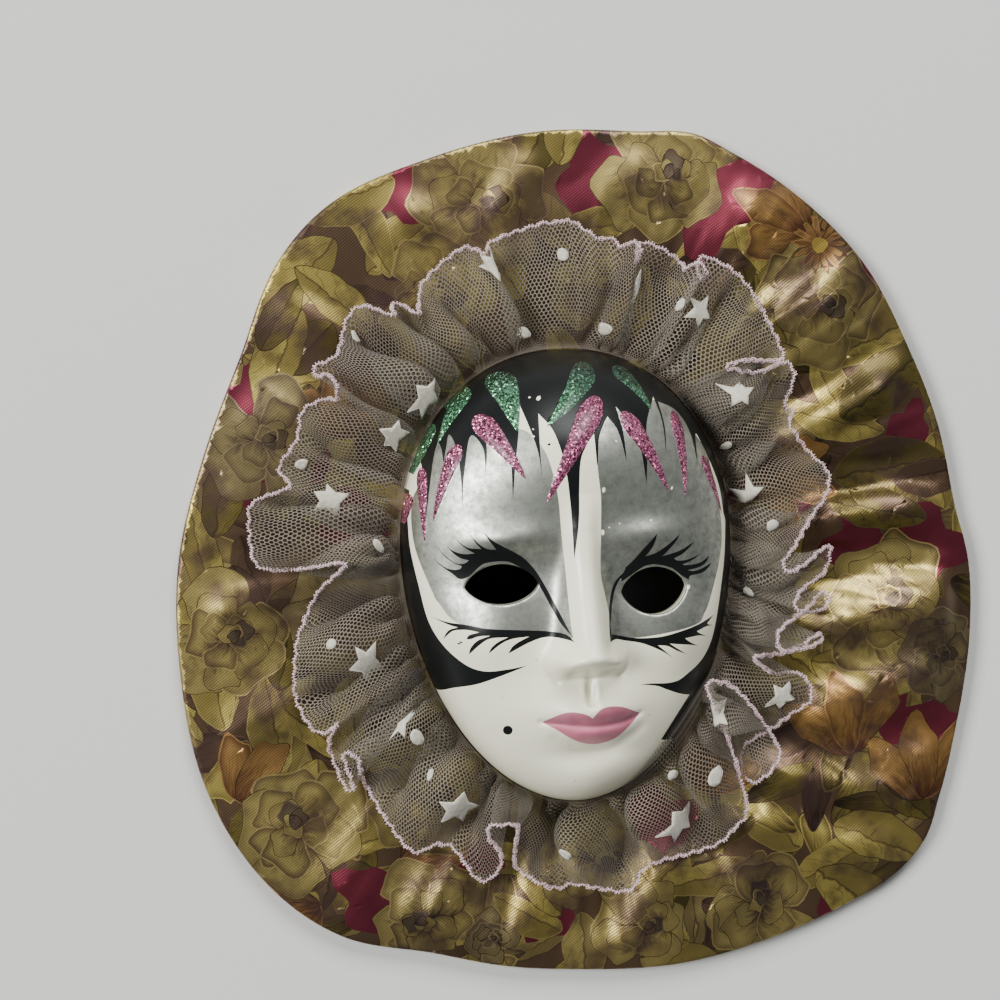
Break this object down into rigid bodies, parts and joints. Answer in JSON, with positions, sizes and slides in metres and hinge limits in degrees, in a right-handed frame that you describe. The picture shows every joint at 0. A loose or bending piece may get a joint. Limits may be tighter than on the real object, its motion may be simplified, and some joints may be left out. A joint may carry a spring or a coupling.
{
  "type": "ceramic wall mask",
  "caption": "Painted ceramic face mask with open eyes, framed by a gathered star-spotted net ruffle on an oval collar of printed gold cloth over card.",
  "frame": {"origin": "on the plane that the piece lies on, under the middle of the collar's box", "axes": "+Z out of the face, +Y towards the forehead, +X to the right as one looks at the face"},
  "size_m": [0.2092, 0.2188, 0.044],
  "materials": {
    "painted_ceramic": "white glaze-like paint with silver, black, pink and glitter paint, semi-gloss",
    "net": "warm grey net with a pink overlocked edge and cream flock stars",
    "printed_lame": "gold metallic-thread twill printed with roses and leaves on crimson",
    "black_card": "matt black"
  },
  "bodies": {
    "root": {"ceramic_mask": "painted_ceramic", "tulle_ruffle": "net", "fabric_collar": "printed_lame", "backing_card": "black_card"}
  },
  "joints": []
}
